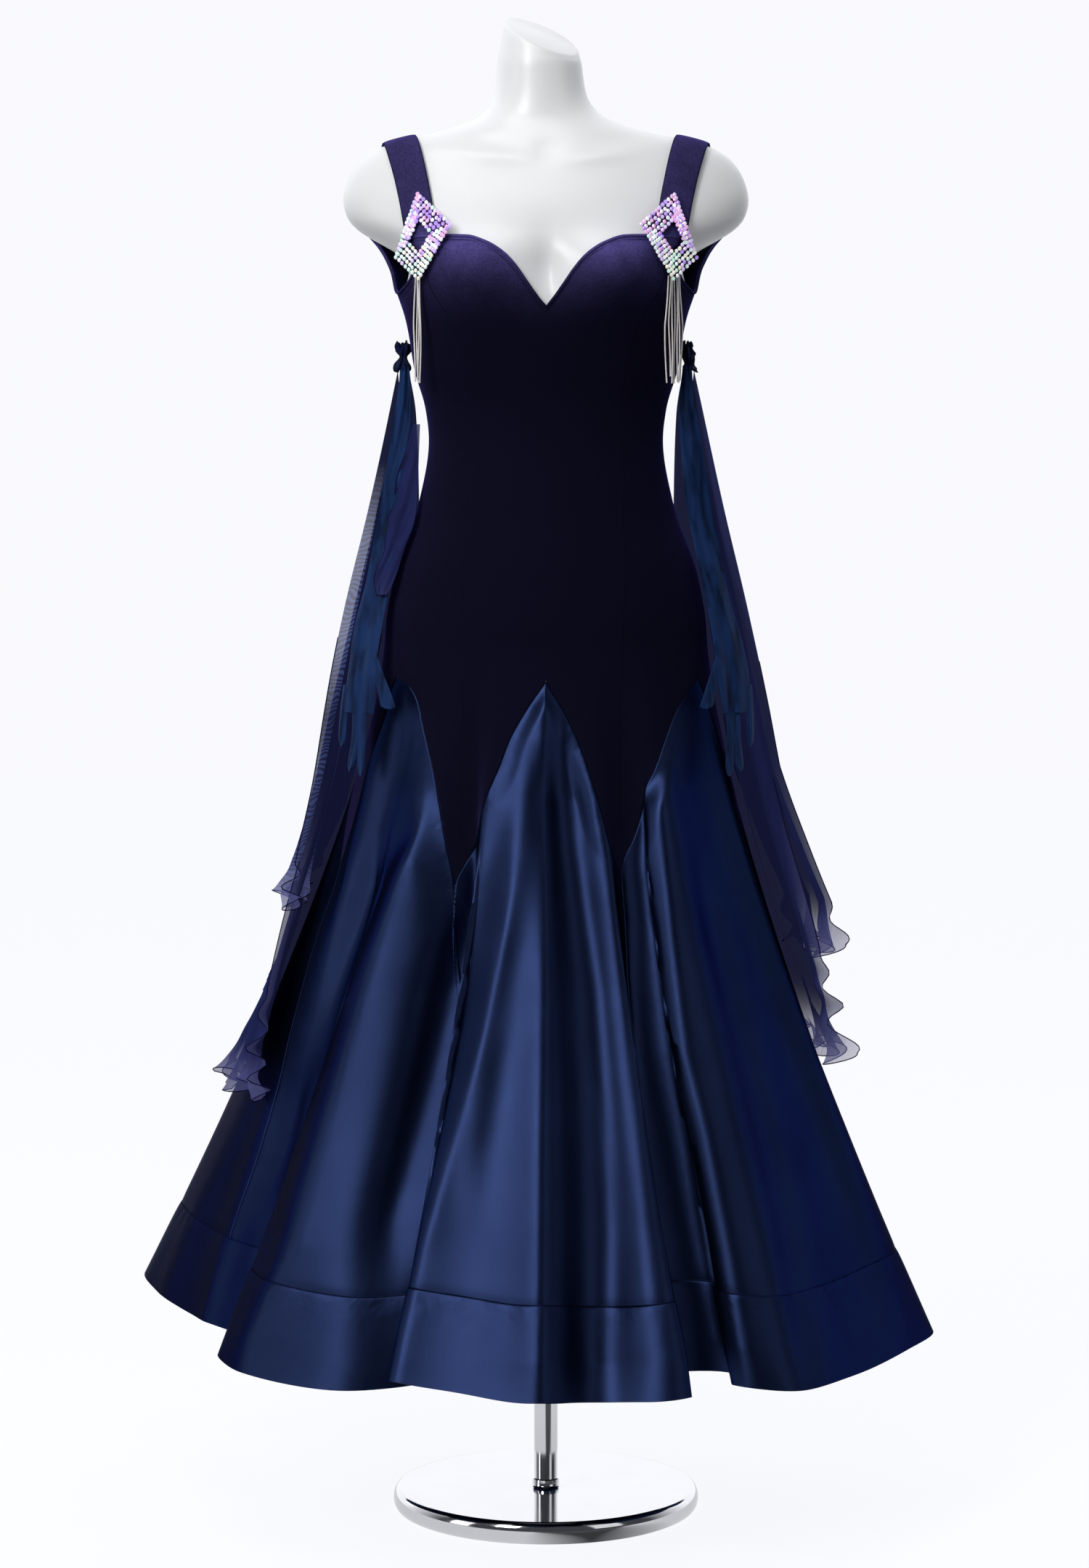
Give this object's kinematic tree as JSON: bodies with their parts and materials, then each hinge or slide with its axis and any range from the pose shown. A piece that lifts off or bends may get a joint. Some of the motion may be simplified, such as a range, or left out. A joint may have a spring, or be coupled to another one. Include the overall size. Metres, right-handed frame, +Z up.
{
  "type": "ballroom gown on a dress form",
  "caption": "Long navy ballroom gown with flared satin godets, worn by a white limbless dress form on a chrome stand.",
  "frame": {"origin": "on the floor, at the middle of the stand's underside", "axes": "+Z up along the pole; the wearer faces -Y; +X is to the right in a front view"},
  "size_m": [0.8635, 0.701, 1.581],
  "materials": {
    "chrome": "mirror polished",
    "white_gloss": "white gloss lacquer",
    "navy_velvet": "short-pile velvet",
    "navy_satin": "heavy satin",
    "navy_chiffon": "sheer chiffon",
    "blue_mesh": "fine stretch mesh",
    "stone_cloth": "faceted stones",
    "silver_cord": "metallic cord"
  },
  "bodies": {
    "root": {"brooch_left": "stone_cloth", "brooch_right": "stone_cloth", "cuff_left": "blue_mesh", "cuff_right": "blue_mesh", "dress_form": "white_gloss", "float_long_left": "navy_chiffon", "float_long_right": "navy_chiffon", "float_short_left": "navy_chiffon", "float_short_right": "navy_chiffon", "glove_left": "blue_mesh", "glove_right": "blue_mesh", "godet_back": "navy_satin", "godet_back_left": "navy_satin", "godet_back_right": "navy_satin", "godet_front": "navy_satin", "godet_front_left": "navy_satin", "godet_front_right": "navy_satin", "hem_band_back": "navy_satin", "hem_band_back_left": "navy_satin", "hem_band_back_right": "navy_satin", "hem_band_front": "navy_satin", "hem_band_front_left": "navy_satin", "hem_band_front_right": "navy_satin", "stand_base": "chrome", "stand_pole": "chrome", "strap_left": "navy_velvet", "strap_right": "navy_velvet", "tassel_left": "silver_cord", "tassel_right": "silver_cord", "velvet_back": "navy_velvet", "velvet_back_left": "navy_velvet", "velvet_back_right": "navy_velvet", "velvet_front": "navy_velvet", "velvet_front_left": "navy_velvet", "velvet_front_right": "navy_velvet"}
  },
  "joints": []
}
